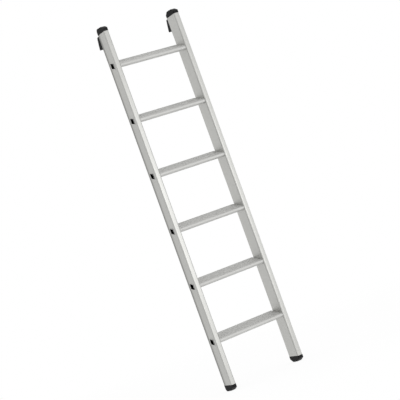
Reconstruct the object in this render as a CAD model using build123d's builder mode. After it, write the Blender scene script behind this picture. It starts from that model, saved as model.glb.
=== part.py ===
"""Single section leaning ladder with flat treads.

Millimetres. The ladder stands upright: +Z runs along the stiles from the feet to the top caps, +X across the
ladder, +Y towards the wall. The origin is on the floor, in the middle of the overall width and depth.
The stiles, feet, caps, pads and rivets are made on the right (+X) and mirrored to the left.
"""
import os
from math import atan, cos, radians, sin, sqrt, tan

from build123d import *

# Whole ladder
overall_width = 424.0  # over the outer faces of the stiles
stile_length = 1699.0
first_nosing_height = 219.0  # lowest point of the first tread's nosing above the floor
tread_pitch = 265.0  # along the stile
top_room = 150.0  # least length of the stile above the last tread's nosing
tread_tilt = 17.5  # degrees, so that the treads are level when the ladder leans

# Stile extrusion
stile_width = 25.0
stile_depth = 70.0
stile_web = 1.6  # side walls
stile_flange = 2.2  # front and back walls
shoulder_depth = 20.0  # how far from the back the outer face starts to curve in
shoulder_radius = 36.0
outer_back_radius = 7.0
front_crown = 0.4  # how far the middle of the front face stands out beyond its corners
outer_front_radius = 0.8
inner_front_radius = 6.5
inner_back_radius = 1.0
least_radius = 0.8  # of any corner inside a hollow
inner_groove_setback = 5.0  # from the front face to the middle of the groove in the inner face
inner_groove_depth = 1.0
outer_groove_setback = 7.0
outer_groove_depth = 0.4
groove_width = 1.8

# Tread extrusion
tread_depth = 88.0
tread_setback = 4.0  # from the stile's front face to the nosing
tread_wall = 1.8
nosing_radius = 10.5
nosing_return = 6.0
rear_radius = 5.0
rear_return = 4.0
rear_corner_radius = 14.0  # in plan, where the tread stands out behind the stiles
tread_end_gap = 0.2  # to the stile's inner face
rib_width = 2.0
rib_height = 0.4
rib_pitch = 4.5
chamber_width = 25.0
chamber_height = 24.0
chamber_wall = 1.2
chamber_radius = 2.0
chamber_setback = 29.5  # from the nosing to the middle of the chamber
chamber_clearance = 0.15  # in the stile's holes
collar_lip = 2.6  # flared rim on the stile's outer face
collar_thickness = 0.8
mouth_chamfer = 1.2  # of the chamber's open ends

# Feet and top caps
end_floor = 23.0  # solid below the stile's end
end_front_height = 25.5  # of the rim that laps over the stile
end_back_height = 29.5
end_proud = 0.9  # beyond the stile's faces
end_clearance = 0.1  # between the rim and the stile
end_front_radius = 6.0
end_back_radius = 10.0
end_side_radius = 4.5
plug_length = 42.0
plug_clearance = 0.25
plug_wall = 3.0
sole_setback = 22.0  # from the stile's front face to the sole's flat land
sole_length = 30.0  # of the land, to the corners where it meets the slopes
sole_front_rise = 13.0  # of the front slope
sole_back_rise = 17.0  # of the back slope
sole_radius = 8.0  # where the slopes meet the land
sole_groove_width = 2.0
sole_groove_depth = 1.5
sole_groove_pitch = 5.5
sole_groove_count = 4

# Wall pads
pad_length = 59.0
pad_drop = 4.0  # from the top cap's rim to the pad's upper end
pad_top_thickness = 13.0
pad_bottom_thickness = 26.5
pad_outer_inset = 5.0
pad_inner_inset = 1.5
pad_bottom_radius = 5.0
pad_top_radius = 8.0
pad_clearance = 0.1  # to the stile
pad_floor = 2.0  # left under the rivet heads
pad_rivet_margin = 15.0  # from either end of the pad
pad_rivet_inset = 8.0  # from the stile's inner face

# Rivets
rivet_radius = 2.0
rivet_clearance = 0.1
rivet_head_radius = 4.0
rivet_head_height = 1.6
rivet_tail_radius = 3.0
rivet_tail_length = 4.0
rivet_tail_gap = 0.3
rivet_room = 0.6  # around a head or a tail in a hole made for it
end_rivet_distance = 24.0  # from the stile's end
end_rivet_setback = 29.5  # from the stile's front face

# Places that follow from the sizes
pad_slope = atan((pad_bottom_thickness - pad_top_thickness) / pad_length)
pad_reach = pad_bottom_thickness - pad_bottom_radius * (tan(pad_slope) + 1 / cos(pad_slope) - 1)
tilt = radians(tread_tilt)
nosing_shift = nosing_radius * (1 - cos(tilt) - sin(tilt))
rear_middle = nosing_shift + (tread_depth - rear_radius) * cos(tilt) + rear_radius * sin(tilt)
tread_reach = tread_setback + rear_middle + rear_radius
back_reach = max(stile_depth + pad_reach, tread_reach)
stile_front = -(back_reach - end_proud) / 2
stile_back = stile_front + stile_depth
stile_outer = overall_width / 2
stile_inner = stile_outer - stile_width
stile_middle = stile_outer - stile_width / 2
stile_foot = end_floor
stile_head = stile_foot + stile_length
tread_count = 1 + int((stile_head - top_room - first_nosing_height) / tread_pitch)
mid_height = Plane.XY.offset((stile_foot + stile_head) / 2)
end_rivet_y = stile_front + end_rivet_setback
end_rivet_heights = (stile_foot + end_rivet_distance, stile_head - end_rivet_distance)
end_front = stile_front - end_proud
end_back = stile_back + end_proud
sole_start = stile_front + sole_setback
sole_end = sole_start + sole_length
sole_middle = (sole_start + sole_end) / 2
back_slope = atan(sole_back_rise / (end_back - sole_end))
back_room = end_back_height - sole_back_rise - least_radius  # for the back rounding, above the slope
pad_head = stile_head + end_floor - end_back_height - pad_drop
pad_foot = pad_head - pad_length
pad_seat = stile_back + pad_clearance
pad_rivet_x = stile_inner + pad_rivet_inset
pad_rivet_heights = (pad_foot + pad_rivet_margin, pad_head - pad_rivet_margin)
rivet_hole_radius = rivet_radius + rivet_clearance
past = 10.0  # how far a cutter reaches beyond what it cuts

# Section of the first tread: x runs back from the nosing, y up from the top face and z along +X
section_origin = (
    0,
    stile_front + tread_setback + nosing_shift,
    first_nosing_height + nosing_radius * (1 + cos(tilt) - sin(tilt)),
)
tread_section = Plane(origin=section_origin, x_dir=(0, cos(tilt), sin(tilt)), z_dir=(1, 0, 0))
tread_plan = Plane(origin=section_origin, x_dir=tread_section.x_dir, z_dir=tread_section.y_dir)
tread_length = 2 * (stile_inner - tread_end_gap)
chamber_middle = (chamber_setback, -chamber_height / 2)
first_chamber = tread_section.from_local_coords((*chamber_middle, 0))
chamber_heights = [first_chamber.Z + step * tread_pitch for step in range(tread_count)]


def stile_outline(height, inset_x=0.0, inset_y=0.0):
    """The right stile's outline at a height, drawn in by the given walls."""
    inset = max(inset_x, inset_y)
    inner, outer = stile_inner + inset_x, stile_outer - inset_x
    front, back = stile_front + inset_y, stile_back - inset_y
    curve = shoulder_radius - inset_x
    shoulder = stile_back - shoulder_depth
    back_edge = outer - curve + sqrt(curve**2 - (back - shoulder) ** 2)
    corners = (
        ((inner, front + front_crown), inner_front_radius),
        ((outer, front + front_crown), outer_front_radius),
        ((inner, back), inner_back_radius),
        ((back_edge, back), outer_back_radius),
    )
    inner_front, outer_front, inner_back, outer_back = [corner for corner, _ in corners]
    with BuildSketch(Plane.XY.offset(height)) as outline:
        with BuildLine():
            Polyline(outer_back, inner_back, inner_front)
            ThreePointArc(inner_front, (stile_middle, front), outer_front)
            Line(outer_front, (outer, shoulder))
            TangentArc((outer, shoulder), outer_back, tangent=(0, 1))
        make_face()
        for corner, radius in corners:
            fillet(vertices().sort_by_distance(corner)[0], max(radius - inset, least_radius))
    return outline.sketch


def chamber_shape(margin):
    """The tread chamber's section about its middle, grown by a margin. Its sides run along the stiles."""
    half_width = chamber_width / 2 + margin
    half_height = chamber_height / 2 + margin
    lean = half_height * tan(tilt)
    with BuildSketch() as shape:
        Polygon(
            (-half_width - lean, -half_height),
            (half_width - lean, -half_height),
            (half_width + lean, half_height),
            (-half_width + lean, half_height),
            align=None,
        )
        fillet(vertices(), max(chamber_radius + margin, least_radius))
    return shape.sketch


def chamber_outline(plane, margin=0.0):
    """The tread chamber's wall on a plane, grown outwards by a margin."""
    with BuildSketch(plane) as outline:
        with Locations(chamber_middle):
            add(chamber_shape(margin))
            add(chamber_shape(-chamber_wall), mode=Mode.SUBTRACT)
    return outline.sketch


def end_moulding():
    """The moulding on the right stile's lower end: a cup around the stile and a plug inside it."""
    height = max(end_front_height, end_back_height)
    with BuildPart() as moulding:
        extrude(stile_outline(0, -end_proud, -end_proud), amount=height)
        with BuildSketch(Plane.YZ.offset(stile_inner - past)):
            with BuildLine():
                Polyline(
                    (end_front, end_front_height),
                    (end_front, sole_front_rise),
                    (sole_start, 0),
                    (sole_end, 0),
                    (end_back, sole_back_rise),
                    (end_back, end_back_height),
                    close=True,
                )
            make_face()
            fillet(vertices().group_by(Axis.Y)[0], sole_radius)
            fillet(vertices().group_by(Axis.X)[0].sort_by(Axis.Y)[0], end_front_radius)
            back_radius = min(end_back_radius, back_room / tan(radians(45) - back_slope / 2))
            fillet(vertices().group_by(Axis.X)[-1].sort_by(Axis.Y)[0], back_radius)
        extrude(amount=stile_width + 2 * past, mode=Mode.INTERSECT)
        with BuildSketch(Plane.XZ.offset(-stile_back - past)):
            with Locations((stile_middle, 0)):
                Rectangle(stile_width + 2 * end_proud, height, align=(Align.CENTER, Align.MIN))
            fillet(vertices().group_by(Axis.Y)[0], end_side_radius)
        extrude(amount=stile_depth + 2 * past, mode=Mode.INTERSECT)
        cup = stile_outline(end_floor, -end_clearance, -end_clearance)
        extrude(cup, amount=plug_length, mode=Mode.SUBTRACT)
        web = stile_web + plug_clearance
        flange = stile_flange + plug_clearance
        extrude(stile_outline(end_floor, web, flange), amount=plug_length)
        pocket = stile_outline(end_floor, web + plug_wall, flange + plug_wall)
        extrude(pocket, amount=plug_length, mode=Mode.SUBTRACT)
        with BuildSketch(Plane.YZ.offset(stile_inner)):
            with Locations((end_rivet_y, end_rivet_heights[0])):
                Circle(rivet_hole_radius)
        extrude(amount=stile_width / 2, mode=Mode.SUBTRACT)
    return moulding.part


def blind_rivet(seat, direction, grip):
    """A set blind rivet: a domed head on its seat, a shank through the grip and a tail behind it."""
    plane = Plane(origin=seat, x_dir=direction, z_dir=(0, 0, 1))
    tail_start = grip + rivet_tail_gap
    tail_end = tail_start + rivet_tail_length
    with BuildPart() as rivet:
        with BuildSketch(plane):
            with BuildLine():
                shank = Polyline(
                    (-rivet_head_height, 0),
                    (tail_end, 0),
                    (tail_end, rivet_radius),
                    (tail_end + rivet_radius - rivet_tail_radius, rivet_tail_radius),
                    (tail_start, rivet_tail_radius),
                    (tail_start, rivet_radius),
                    (0, rivet_radius),
                    (0, rivet_head_radius),
                )
                TangentArc(shank @ 0, shank @ 1, tangent=(0, 1))
            make_face()
        revolve(axis=Axis(seat, direction))
    return rivet.part


def save(piece, name):
    """Label a finished piece and write it."""
    piece.part.label = name
    export_step(piece.part, f"parts/{name}.step")


def save_both_sides(piece, name):
    """Write a piece of the right side and its mirror image on the left."""
    with BuildPart() as mirrored:
        mirror(piece.part, about=Plane.YZ)
    save(piece, f"right_{name}")
    save(mirrored, f"left_{name}")


os.makedirs("parts", exist_ok=True)

# Stiles
with BuildPart() as stile:
    extrude(stile_outline(stile_foot), amount=stile_length)
    extrude(stile_outline(stile_foot, stile_web, stile_flange), amount=stile_length, mode=Mode.SUBTRACT)
    with BuildSketch(Plane.XY.offset(stile_foot)):
        with Locations((stile_inner, stile_front + inner_groove_setback)):
            Rectangle(2 * inner_groove_depth, groove_width)
        with Locations((stile_outer, stile_front + outer_groove_setback)):
            Rectangle(2 * outer_groove_depth, groove_width)
    extrude(amount=stile_length, mode=Mode.SUBTRACT)
    with BuildSketch(Plane.YZ.offset(stile_inner - past)):
        with Locations(*[(first_chamber.Y, height) for height in chamber_heights]):
            add(chamber_shape(chamber_clearance), rotation=tread_tilt)
    extrude(amount=stile_width + 2 * past, mode=Mode.SUBTRACT)
    with BuildSketch(Plane.YZ.offset(stile_inner - past)):
        with Locations(*[(end_rivet_y, height) for height in end_rivet_heights]):
            Circle(rivet_hole_radius)
    extrude(amount=past + stile_width / 2, mode=Mode.SUBTRACT)
    with BuildSketch(Plane.XZ.offset(-stile_back - past)):
        with Locations(*[(pad_rivet_x, height) for height in pad_rivet_heights]):
            Circle(rivet_hole_radius)
    extrude(amount=past + stile_depth / 2, mode=Mode.SUBTRACT)
save_both_sides(stile, "stile")

# Treads, with the chamber that goes through both stiles and is flared outside them
with BuildPart() as first_tread:
    with BuildSketch(tread_section):
        with BuildLine():
            rear_roll = CenterArc((tread_depth - rear_radius, -rear_radius), rear_radius, -90, 180)
            Line(rear_roll @ 0 - (rear_return, 0), rear_roll @ 0)
            nosing = CenterArc((nosing_radius, -nosing_radius), nosing_radius, 90, 180)
            Line(rear_roll @ 1, nosing @ 0)
            Line(nosing @ 1, nosing @ 1 + (nosing_return, 0))
            offset(amount=tread_wall, side=Side.LEFT)
        make_face()
        rib_span = tread_depth - rear_radius - nosing_radius
        with Locations((nosing_radius + rib_span / 2, 0)):
            with GridLocations(rib_pitch, 0, int(rib_span / rib_pitch), 1):
                Rectangle(rib_width, rib_height, align=(Align.CENTER, Align.MIN))
    extrude(amount=tread_length / 2, both=True)
    with BuildSketch(tread_plan):
        Rectangle(tread_depth, tread_length, align=(Align.MIN, Align.CENTER))
        fillet(vertices().group_by(Axis.X)[-1], rear_corner_radius)
    extrude(amount=2 * nosing_radius + past, both=True, mode=Mode.INTERSECT)
    extrude(chamber_outline(tread_section), amount=stile_outer)
    extrude(chamber_outline(tread_section.offset(stile_outer), collar_lip), amount=collar_thickness)
    chamfer(faces().sort_by(Axis.X)[-1].inner_wires()[0].edges(), mouth_chamfer)
    mirror(about=Plane.YZ)
for step in range(tread_count):
    with BuildPart() as tread:
        with Locations((0, 0, step * tread_pitch)):
            add(first_tread.part)
    save(tread, f"tread_{step + 1}")

# Feet, with grooves across the flat of the sole
end_block = end_moulding()
with BuildPart() as foot:
    add(end_block)
    with BuildSketch(Plane.XY):
        with Locations((stile_middle, sole_middle)):
            with GridLocations(0, sole_groove_pitch, 1, sole_groove_count):
                Rectangle(stile_width + 2 * past, sole_groove_width)
    extrude(amount=sole_groove_depth, mode=Mode.SUBTRACT)
save_both_sides(foot, "foot")

# Top caps, with holes in the plug for the tails of the pad rivets
with BuildPart() as top_cap:
    mirror(end_block, about=mid_height)
    with BuildSketch(Plane.XZ.offset(-stile_back)):
        with Locations(*[(pad_rivet_x, height) for height in pad_rivet_heights]):
            Circle(rivet_tail_radius + rivet_room)
    extrude(amount=stile_depth / 2, mode=Mode.SUBTRACT)
save_both_sides(top_cap, "top_cap")

# Wall pads, which follow the stile's rounded back and take the rivet heads in counterbores
with BuildPart() as wall_pad:
    with BuildSketch(Plane.YZ.offset(stile_inner + pad_inner_inset)):
        with BuildLine():
            Polyline(
                (stile_back - outer_back_radius, pad_head),
                (stile_back + pad_top_thickness, pad_head),
                (stile_back + pad_bottom_thickness, pad_foot),
                (stile_back - outer_back_radius, pad_foot),
                close=True,
            )
        make_face()
        fillet(vertices().sort_by(Axis.X)[-1], pad_bottom_radius)
        fillet(vertices().group_by(Axis.Y)[-1].sort_by(Axis.X)[-1], pad_top_radius)
    extrude(amount=stile_width - pad_inner_inset - pad_outer_inset)
    seat = stile_outline(stile_foot, -pad_clearance, -pad_clearance)
    extrude(seat, amount=stile_length, mode=Mode.SUBTRACT)
    with BuildSketch(Plane.XZ.offset(-stile_back)):
        with Locations(*[(pad_rivet_x, height) for height in pad_rivet_heights]):
            Circle(rivet_hole_radius)
    extrude(amount=-pad_bottom_thickness, mode=Mode.SUBTRACT)
    with BuildSketch(Plane.XZ.offset(-pad_seat - pad_floor)):
        with Locations(*[(pad_rivet_x, height) for height in pad_rivet_heights]):
            Circle(rivet_head_radius + rivet_room)
    extrude(amount=-pad_bottom_thickness, mode=Mode.SUBTRACT)
save_both_sides(wall_pad, "wall_pad")

# Rivets
end_grip = stile_web + plug_clearance + plug_wall
for height, name in zip(end_rivet_heights, ("foot_rivet", "cap_rivet")):
    with BuildPart() as end_rivet:
        add(blind_rivet((stile_inner, end_rivet_y, height), (1, 0, 0), end_grip))
    save_both_sides(end_rivet, name)
pad_grip = pad_floor + pad_clearance + stile_flange
with BuildPart() as pad_rivets:
    for height in pad_rivet_heights:
        add(blind_rivet((pad_rivet_x, pad_seat + pad_floor, height), (0, -1, 0), pad_grip))
save_both_sides(pad_rivets, "pad_rivets")
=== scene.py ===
"""Finishes and studio for a single section ladder with flat treads.

Metres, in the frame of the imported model: +Z along the stiles, +X across the ladder, +Y towards the wall.
"""
from math import pi, radians

import bmesh
import bpy
from bpy.props import FloatProperty, FloatVectorProperty, IntProperty, PointerProperty
from mathutils import Matrix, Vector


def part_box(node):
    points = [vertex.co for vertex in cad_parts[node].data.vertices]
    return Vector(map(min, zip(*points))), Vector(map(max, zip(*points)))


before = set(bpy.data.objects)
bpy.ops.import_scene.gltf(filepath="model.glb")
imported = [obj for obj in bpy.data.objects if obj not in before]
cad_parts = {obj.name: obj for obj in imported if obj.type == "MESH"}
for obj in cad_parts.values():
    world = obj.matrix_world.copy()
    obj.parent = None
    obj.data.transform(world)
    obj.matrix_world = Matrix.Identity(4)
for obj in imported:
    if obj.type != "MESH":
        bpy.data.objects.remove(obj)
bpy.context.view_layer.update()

bl_info = {
    "name": "Single section ladder",
    "version": (1, 0, 0),
    "blender": (4, 5, 0),
    "location": "View3D > Sidebar > Ladder",
    "description": "Finishes the pieces of a flat tread ladder and sets it in a plain studio",
    "category": "Object",
}

mm = 0.001
sides = ("left", "right")
stile_nodes = [f"{side}_stile" for side in sides]
tread_nodes = sorted(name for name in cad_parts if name.startswith("tread_"))
moulding_nodes = [f"{side}_{piece}" for side in sides for piece in ("foot", "top_cap", "wall_pad")]
rivet_nodes = [f"{side}_{piece}" for side in sides for piece in ("foot_rivet", "cap_rivet", "pad_rivets")]


def linear(hex_colour):
    """An sRGB hex colour as linear red, green and blue."""
    channels = [int(hex_colour[start : start + 2], 16) / 255 for start in (1, 3, 5)]
    return [c / 12.92 if c <= 0.04045 else ((c + 0.055) / 1.055) ** 2.4 for c in channels]


def colour(name, description, hex_colour):
    """A colour that a user can change."""
    return FloatVectorProperty(
        name=name, description=description, default=linear(hex_colour), subtype="COLOR", min=0, max=1
    )


def length(name, description, metres):
    """A length that a user can change."""
    return FloatProperty(name=name, description=description, default=metres, min=0, unit="LENGTH")


def angle(name, description, degrees):
    """An angle that a user can change."""
    return FloatProperty(name=name, description=description, default=radians(degrees), subtype="ANGLE")


def place(name, description, metres):
    """A point that a user can change."""
    return FloatVectorProperty(
        name=name, description=description, default=metres, subtype="TRANSLATION", unit="LENGTH"
    )


def share(name, description, value):
    """A number from 0 to 1 that a user can change."""
    return FloatProperty(name=name, description=description, default=value, min=0, max=1, subtype="FACTOR")


class LadderFinish(bpy.types.PropertyGroup):
    """Colours, gloss and pattern sizes of the ladder's finishes."""

    stile_colour: colour("Stiles", "Mill finish of the stile extrusions", "#BEBEBB")
    tread_colour: colour("Treads", "Mill finish of the tread extrusions", "#C8C8C6")
    # Painted shade: a darker tone laid on the stiles' rounded outer back corners
    shoulder_shade_colour: colour("Shoulders", "Painted shade on the stiles' rounded outer back corners", "#989895")
    # Painted shade: black laid on the insides of the treads' tubes
    tube_shade_colour: colour("Tubes", "Painted black shade in the treads' tubes, between the stiles' walls", "#0A0A0A")
    rivet_colour: colour("Rivets", "Bright aluminium of the rivets", "#C6C7C5")
    moulding_colour: colour("Mouldings", "Black of the feet, top caps and wall pads", "#121213")
    scuff_colour: colour("Scuffs", "Grey of the rubbed patches on the mouldings", "#222223")
    stile_roughness: share("Stile roughness", "How much the stiles blur what they mirror", 0.42)
    tread_roughness: share("Tread roughness", "How much the treads blur what they mirror", 0.65)
    rivet_roughness: share("Rivet roughness", "How much the rivets blur what they mirror", 0.28)
    smooth_moulding: share("Smooth moulding", "Roughness of the mouldings' smoothest spots", 0.5)
    rough_moulding: share("Rough moulding", "Roughness of the mouldings' roughest spots", 0.62)
    stile_edge: share("Stile edge", "How much of their gloss the stiles keep near a glancing angle", 0.55)
    tread_edge: share("Tread edge", "How much of their gloss the treads keep near a glancing angle", 1.0)
    line_contrast: share("Die line contrast", "How far the die lines lighten and darken the metal", 0.1)
    gloss_range: share("Gloss range", "How far the extrusions' roughness strays to either side", 0.05)
    line_spacing: length("Die lines", "Spacing of the fine lines along the extrusions", 3 * mm)
    line_length: length("Die line length", "How far a die line runs before it fades", 500 * mm)
    cloud_size: length("Cloud size", "Size of the soft clouds in the extrusions' gloss", 250 * mm)
    # Where the painted shade on the stiles' rounded outer back corners lies
    shoulder_start: length("Shoulder start", "How far from the back the painted shade on a shoulder starts", 29 * mm)
    shoulder_end: length("Shoulder end", "How far from the back the painted shade on a shoulder is full", 14 * mm)
    shoulder_width: length("Shoulder width", "How far the painted shade on a shoulder reaches in from the outer face", 7 * mm)
    # How far the painted black shade in the tubes stops short of the tread ends
    tube_rim: length("Tube rim", "Rim of a tread's tube left bright, outside its painted black shade", 0.1 * mm)
    dent_size: length("Dents", "Size of the dents on the rivets", 1.5 * mm)
    grain_size: length("Grain", "Grain of the moulded surface", 1.2 * mm)
    scuff_size: length("Scuff size", "Size of the rubbed patches", 9 * mm)


class LadderStudio(bpy.types.PropertyGroup):
    """Camera, lamp, floor and backdrop."""

    camera_place: place("Camera", "Where the camera stands", (-3.8695, -5.7340, 0.7286))
    camera_turn: angle("Turn", "Turn of the view from +Y towards +X", 34)
    camera_pitch: angle("Pitch", "How far the view points up", 1.0754)
    camera_roll: angle("Roll", "Roll of the camera", 19.878)
    camera_lens: FloatProperty(
        name="Lens", description="Focal length on a 36 mm sensor", default=135.251, min=1, unit="CAMERA"
    )
    front_lamp_place: place("Front lamp", "Middle of the soft box in front", (0.82, -2.7, 0.82))
    front_lamp_width: length("Front lamp width", "Width of the soft box in front", 1.8)
    front_lamp_height: length("Front lamp height", "Height of the soft box in front", 1.5)
    front_lamp_level: FloatProperty(
        name="Front lamp level",
        description="How bright the soft box looks, where 1 is white",
        default=1.94,
        min=0,
    )
    floor_colour: colour("Floor", "Matt white of the floor", "#F8F8F8")
    floor_glow: share("Floor glow", "Part of the floor's white that takes no shadow, near the ladder", 0.9)
    floor_radius: length("Floor radius", "How far the floor reaches", 15.0)
    floor_near: length("Floor near", "Where the floor starts to run into the white backdrop", 1.2)
    floor_far: length("Floor far", "Where the floor has become the backdrop", 3.5)
    floor_gap: length("Floor gap", "How far the floor lies below the soles", 0.3 * mm)
    floor_segments: IntProperty(
        name="Floor segments", description="How many sides the round floor has", default=96, min=3
    )
    zenith_level: share("Zenith level", "How bright the backdrop is overhead, where 1 is white", 0.95)
    zenith_start: share("Zenith start", "Height at which the backdrop starts to dim, on a unit sphere", 0.2)
    zenith_full: share("Zenith full", "Height at which the backdrop is dimmest, on a unit sphere", 0.8)


def add_node(tree, kind, inputs, output=None, **settings):
    """Add a node with its settings and with values and links on its inputs, and give back an output."""
    node = tree.nodes.new(kind)
    for name, value in settings.items():
        setattr(node, name, value)
    sockets = {socket.identifier: socket for socket in node.inputs}
    for name, value in inputs.items():
        if isinstance(value, bpy.types.NodeSocket):
            tree.links.new(value, sockets[name])
        else:
            sockets[name].default_value = value
    if output:
        return node.outputs[output]
    return next((socket for socket in node.outputs if socket.enabled), None)


def new_material(name):
    """A material with an empty node tree."""
    material = bpy.data.materials.new(name)
    material.use_nodes = True
    material.node_tree.nodes.clear()
    return material


def shade(rgb, factor):
    """A colour made lighter or darker, with its alpha."""
    return [*(min(1, channel * factor) for channel in rgb), 1]


def dress(names, material):
    """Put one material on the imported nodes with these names."""
    for name in names:
        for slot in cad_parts[name].material_slots:
            slot.material = material


def distance_from_middle(tree, point):
    """How far a point lies to either side of the ladder's middle."""
    across = add_node(tree, "ShaderNodeSeparateXYZ", {"Vector": point}, output="X")
    return add_node(tree, "ShaderNodeMath", {"Value": across}, operation="ABSOLUTE")


def shoulder_shade_mask(tree, point, finish):
    """Rises from 0 to 1 over the rounded outer back corners of the stiles, which get painted shade."""
    outer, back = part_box("right_stile")[1].xy
    outside = add_node(
        tree,
        "ShaderNodeMath",
        {"Value": distance_from_middle(tree, point), "Value_001": outer - finish.shoulder_width},
        operation="GREATER_THAN",
    )
    return add_node(
        tree,
        "ShaderNodeMapRange",
        {
            "Value": add_node(tree, "ShaderNodeSeparateXYZ", {"Vector": point}, output="Y"),
            "From Min": back - finish.shoulder_start,
            "From Max": back - finish.shoulder_end,
            "To Min": 0,
            "To Max": outside,
        },
        interpolation_type="SMOOTHSTEP",
    )


def tube_shade_mask(tree, point, finish):
    """1 where the treads' tubes pass through the stiles and get painted black shade, and 0 elsewhere."""
    near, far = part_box("right_stile")[0].x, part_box("tread_1")[1].x - finish.tube_rim
    return add_node(
        tree,
        "ShaderNodeMath",
        {
            "Value": distance_from_middle(tree, point),
            "Value_001": (near + far) / 2,
            "Value_002": (far - near) / 2,
        },
        operation="COMPARE",
    )


def extruded_aluminium(name, rgb, roughness, edge, stretch, painted_shade_places, painted_shade_rgb, finish):
    """Extruded aluminium, mill finish."""
    # A soft grey metal that blurs what it mirrors. The die draws faint lines along the extrusion that change
    # its tone and its gloss. Real ones are finer than a pixel, so they are drawn about ten times too coarse.
    # Soft clouds vary the gloss as well, and a dull skin can take some of it away near a glancing angle.
    # Painted shade darkens some places: the stiles' rounded corners, and the tubes' insides, which read
    # black.
    material = new_material(name)
    tree = material.node_tree
    point = add_node(tree, "ShaderNodeTexCoord", {}, output="Object")
    along = add_node(tree, "ShaderNodeMapping", {"Vector": point, "Scale": stretch})
    lines = add_node(tree, "ShaderNodeTexNoise", {"Vector": along, "Scale": 1, "Detail": 3, "Roughness": 0.6})
    clouds = add_node(
        tree, "ShaderNodeTexNoise", {"Vector": point, "Scale": 1 / finish.cloud_size, "Detail": 2}
    )
    lined = add_node(
        tree,
        "ShaderNodeMix",
        {
            "Factor_Float": lines,
            "A_Color": shade(rgb, 1 - finish.line_contrast),
            "B_Color": shade(rgb, 1 + finish.line_contrast),
        },
        data_type="RGBA",
    )
    # Painted shade: the masked places take the darker colour in place of the lined metal
    base = add_node(
        tree,
        "ShaderNodeMix",
        {"Factor_Float": painted_shade_places(tree, point, finish), "A_Color": lined, "B_Color": shade(painted_shade_rgb, 1)},
        data_type="RGBA",
    )
    # The sum of the two noises runs from about 0.7 to 1.3
    gloss = add_node(tree, "ShaderNodeMath", {"Value": lines, "Value_001": clouds}, operation="ADD")
    rough = add_node(
        tree,
        "ShaderNodeMapRange",
        {
            "Value": gloss,
            "From Min": 0.7,
            "From Max": 1.3,
            "To Min": roughness - finish.gloss_range,
            "To Max": roughness + finish.gloss_range,
        },
    )
    bump = add_node(tree, "ShaderNodeBump", {"Height": lines, "Strength": 0.15, "Distance": 0.1 * mm})
    metal = add_node(
        tree,
        "ShaderNodeBsdfPrincipled",
        {
            "Base Color": base,
            "Metallic": 1.0,
            "Roughness": rough,
            "Specular Tint": (edge, edge, edge, 1),
            "Normal": bump,
        },
    )
    add_node(tree, "ShaderNodeOutputMaterial", {"Surface": metal})
    return material


def upset_aluminium(name, finish):
    """Bright aluminium rivet, headed in a die."""
    # Brighter and smoother than the extrusions, with small dents from the setting tool.
    material = new_material(name)
    tree = material.node_tree
    point = add_node(tree, "ShaderNodeTexCoord", {}, output="Object")
    dents = add_node(
        tree, "ShaderNodeTexNoise", {"Vector": point, "Scale": 1 / finish.dent_size, "Detail": 2}
    )
    dark, bright = shade(finish.rivet_colour, 0.88), shade(finish.rivet_colour, 1.1)
    tone = add_node(
        tree,
        "ShaderNodeMix",
        {"Factor_Float": dents, "A_Color": dark, "B_Color": bright},
        data_type="RGBA",
    )
    bump = add_node(tree, "ShaderNodeBump", {"Height": dents, "Strength": 0.3, "Distance": 0.1 * mm})
    metal = add_node(
        tree,
        "ShaderNodeBsdfPrincipled",
        {"Base Color": tone, "Metallic": 1.0, "Roughness": finish.rivet_roughness, "Normal": bump},
    )
    add_node(tree, "ShaderNodeOutputMaterial", {"Surface": metal})
    return material


def grained_polypropylene(name, finish):
    """Black polypropylene, moulded with a fine spark grain."""
    # Nearly black, with a low sheen that the grain breaks up, and slightly greyer where it has been rubbed.
    # The real grain is finer than a pixel, so it is drawn about four times too coarse.
    material = new_material(name)
    tree = material.node_tree
    point = add_node(tree, "ShaderNodeTexCoord", {}, output="Object")
    grain = add_node(tree, "ShaderNodeTexVoronoi", {"Vector": point, "Scale": 1 / finish.grain_size})
    patches = add_node(
        tree,
        "ShaderNodeTexNoise",
        {"Vector": point, "Scale": 1 / finish.scuff_size, "Detail": 4, "Roughness": 0.65},
    )
    rubbed = add_node(
        tree,
        "ShaderNodeMapRange",
        {"Value": patches, "From Min": 0.45, "From Max": 0.75, "To Min": 0, "To Max": 1},
    )
    base = add_node(
        tree,
        "ShaderNodeMix",
        {
            "Factor_Float": rubbed,
            "A_Color": shade(finish.moulding_colour, 1),
            "B_Color": shade(finish.scuff_colour, 1),
        },
        data_type="RGBA",
    )
    rough = add_node(
        tree,
        "ShaderNodeMapRange",
        {
            "Value": patches,
            "From Min": 0.3,
            "From Max": 0.7,
            "To Min": finish.smooth_moulding,
            "To Max": finish.rough_moulding,
        },
    )
    bump = add_node(tree, "ShaderNodeBump", {"Height": grain, "Strength": 0.35, "Distance": 0.15 * mm})
    plastic = add_node(
        tree,
        "ShaderNodeBsdfPrincipled",
        {"Base Color": base, "Roughness": rough, "IOR": 1.49, "Specular IOR Level": 0.15, "Normal": bump},
    )
    add_node(tree, "ShaderNodeOutputMaterial", {"Surface": plastic})
    return material


def studio_floor(studio):
    """Matt white floor that runs into the backdrop."""
    # It takes the ladder's soft shadow near the feet and is as white as the backdrop further out.
    material = new_material("studio_floor")
    tree = material.node_tree
    point = add_node(tree, "ShaderNodeTexCoord", {}, output="Object")
    distance = add_node(tree, "ShaderNodeVectorMath", {"Vector": point}, output="Value", operation="LENGTH")
    glow = add_node(
        tree,
        "ShaderNodeMapRange",
        {
            "Value": distance,
            "From Min": studio.floor_near,
            "From Max": studio.floor_far,
            "To Min": studio.floor_glow,
            "To Max": 1,
        },
        interpolation_type="SMOOTHSTEP",
    )
    matt = add_node(tree, "ShaderNodeBsdfDiffuse", {"Color": shade(studio.floor_colour, 1)})
    white = add_node(tree, "ShaderNodeEmission", {"Strength": 1})
    floor = add_node(tree, "ShaderNodeMixShader", {"Fac": glow, "Shader": matt, "Shader_001": white})
    add_node(tree, "ShaderNodeOutputMaterial", {"Surface": floor})
    return material


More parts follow.
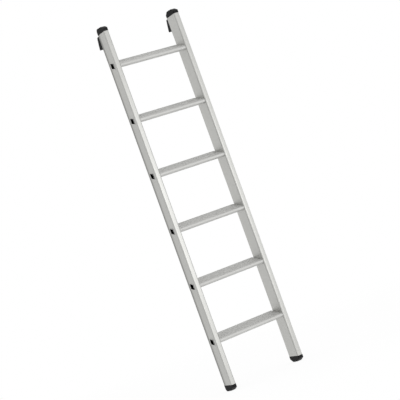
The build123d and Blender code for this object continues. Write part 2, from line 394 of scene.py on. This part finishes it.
class LADDER_OT_stiles(bpy.types.Operator):
    """Give the stiles their mill finish, with die lines along Z and painted shade on the rounded back corners
    """

    bl_idname = "ladder.stiles"
    bl_label = "Stiles"

    def execute(self, context):
        finish = context.scene.ladder_finish
        across, along = 1 / finish.line_spacing, 1 / finish.line_length
        material = extruded_aluminium(
            "stile_extruded_aluminium",
            finish.stile_colour,
            finish.stile_roughness,
            finish.stile_edge,
            stretch=(across, across, along),
            # The rounded outer back corners get painted shade
            painted_shade_places=shoulder_shade_mask,
            painted_shade_rgb=finish.shoulder_shade_colour,
            finish=finish,
        )
        dress(stile_nodes, material)
        return {"FINISHED"}


class LADDER_OT_treads(bpy.types.Operator):
    """Give the treads their mill finish, with die lines along X and painted black shade in the tubes"""

    bl_idname = "ladder.treads"
    bl_label = "Treads"

    def execute(self, context):
        finish = context.scene.ladder_finish
        across, along = 1 / finish.line_spacing, 1 / finish.line_length
        material = extruded_aluminium(
            "tread_extruded_aluminium",
            finish.tread_colour,
            finish.tread_roughness,
            finish.tread_edge,
            stretch=(along, across, across),
            # The insides of the tubes get painted black shade
            painted_shade_places=tube_shade_mask,
            painted_shade_rgb=finish.tube_shade_colour,
            finish=finish,
        )
        dress(tread_nodes, material)
        return {"FINISHED"}


class LADDER_OT_rivets(bpy.types.Operator):
    """Give the rivets their bright finish"""

    bl_idname = "ladder.rivets"
    bl_label = "Rivets"

    def execute(self, context):
        dress(rivet_nodes, upset_aluminium("rivet_upset_aluminium", context.scene.ladder_finish))
        return {"FINISHED"}


class LADDER_OT_mouldings(bpy.types.Operator):
    """Give the feet, top caps and wall pads their grained black plastic"""

    bl_idname = "ladder.mouldings"
    bl_label = "Feet, top caps and wall pads"

    def execute(self, context):
        dress(moulding_nodes, grained_polypropylene("grained_polypropylene", context.scene.ladder_finish))
        return {"FINISHED"}


class LADDER_OT_studio(bpy.types.Operator):
    """Set up the floor, the backdrop, the lamp and the camera"""

    bl_idname = "ladder.studio"
    bl_label = "Studio"

    def execute(self, context):
        scene = context.scene
        studio = scene.ladder_studio
        scene.view_settings.view_transform = "Standard"
        self.add_floor(scene, studio)
        self.add_backdrop(scene, studio)
        self.add_front_lamp(scene, studio)
        self.add_camera(scene, studio)
        return {"FINISHED"}

    def add_floor(self, scene, studio):
        mesh = bpy.data.meshes.new("floor")
        disc = bmesh.new()
        bmesh.ops.create_circle(
            disc, cap_ends=True, segments=studio.floor_segments, radius=studio.floor_radius
        )
        bmesh.ops.translate(disc, verts=disc.verts, vec=(0, 0, -studio.floor_gap))
        disc.to_mesh(mesh)
        disc.free()
        mesh.materials.append(studio_floor(studio))
        floor = bpy.data.objects.new("floor", mesh)
        scene.collection.objects.link(floor)

    def add_backdrop(self, scene, studio):
        world = bpy.data.worlds.new("white_backdrop")
        world.use_nodes = True
        tree = world.node_tree
        tree.nodes.clear()
        direction = add_node(tree, "ShaderNodeTexCoord", {}, output="Generated")
        height = add_node(tree, "ShaderNodeSeparateXYZ", {"Vector": direction}, output="Z")
        level = add_node(
            tree,
            "ShaderNodeMapRange",
            {
                "Value": height,
                "From Min": studio.zenith_start,
                "From Max": studio.zenith_full,
                "To Min": 1,
                "To Max": studio.zenith_level,
            },
            interpolation_type="SMOOTHSTEP",
        )
        white = add_node(tree, "ShaderNodeBackground", {"Color": (1, 1, 1, 1), "Strength": level})
        add_node(tree, "ShaderNodeOutputWorld", {"Surface": white})
        scene.world = world

    def add_front_lamp(self, scene, studio):
        lamp = bpy.data.lights.new("front_soft_box", "AREA")
        lamp.shape = "RECTANGLE"
        lamp.size = studio.front_lamp_width
        lamp.size_y = studio.front_lamp_height
        # A flat lamp is as bright as its power divided by pi times its area
        lamp.energy = studio.front_lamp_level * pi * lamp.size * lamp.size_y
        soft_box = bpy.data.objects.new("front_soft_box", lamp)
        soft_box.location = studio.front_lamp_place
        soft_box.rotation_euler = (pi / 2, 0, 0)
        soft_box.visible_camera = False
        scene.collection.objects.link(soft_box)

    def add_camera(self, scene, studio):
        camera = bpy.data.objects.new("camera", bpy.data.cameras.new("camera"))
        camera.data.sensor_width = 36
        camera.data.lens = studio.camera_lens
        turn = Matrix.Rotation(-studio.camera_turn, 4, "Z")
        pitch = Matrix.Rotation(pi / 2 + studio.camera_pitch, 4, "X")
        roll = Matrix.Rotation(-studio.camera_roll, 4, "Z")
        camera.matrix_world = Matrix.Translation(studio.camera_place) @ turn @ pitch @ roll
        scene.collection.objects.link(camera)
        scene.camera = camera


operators = (LADDER_OT_stiles, LADDER_OT_treads, LADDER_OT_rivets, LADDER_OT_mouldings, LADDER_OT_studio)


class LADDER_PT_panel(bpy.types.Panel):
    """Lists the ladder's groups of pieces and its studio"""

    bl_idname = "LADDER_PT_panel"
    bl_label = "Ladder"
    bl_space_type = "VIEW_3D"
    bl_region_type = "UI"
    bl_category = "Ladder"

    def draw(self, context):
        for operator in operators:
            self.layout.operator(operator.bl_idname)
        for group in (context.scene.ladder_finish, context.scene.ladder_studio):
            box = self.layout.box()
            for name in type(group).__annotations__:
                box.prop(group, name)


classes = (LadderFinish, LadderStudio, *operators, LADDER_PT_panel)


def register():
    for cls in classes:
        bpy.utils.register_class(cls)
    bpy.types.Scene.ladder_finish = PointerProperty(type=LadderFinish)
    bpy.types.Scene.ladder_studio = PointerProperty(type=LadderStudio)


def unregister():
    del bpy.types.Scene.ladder_studio
    del bpy.types.Scene.ladder_finish
    for cls in reversed(classes):
        bpy.utils.unregister_class(cls)


def main():
    register()
    bpy.ops.ladder.stiles()
    bpy.ops.ladder.treads()
    bpy.ops.ladder.rivets()
    bpy.ops.ladder.mouldings()
    bpy.ops.ladder.studio()


if __name__ == "__main__":
    main()
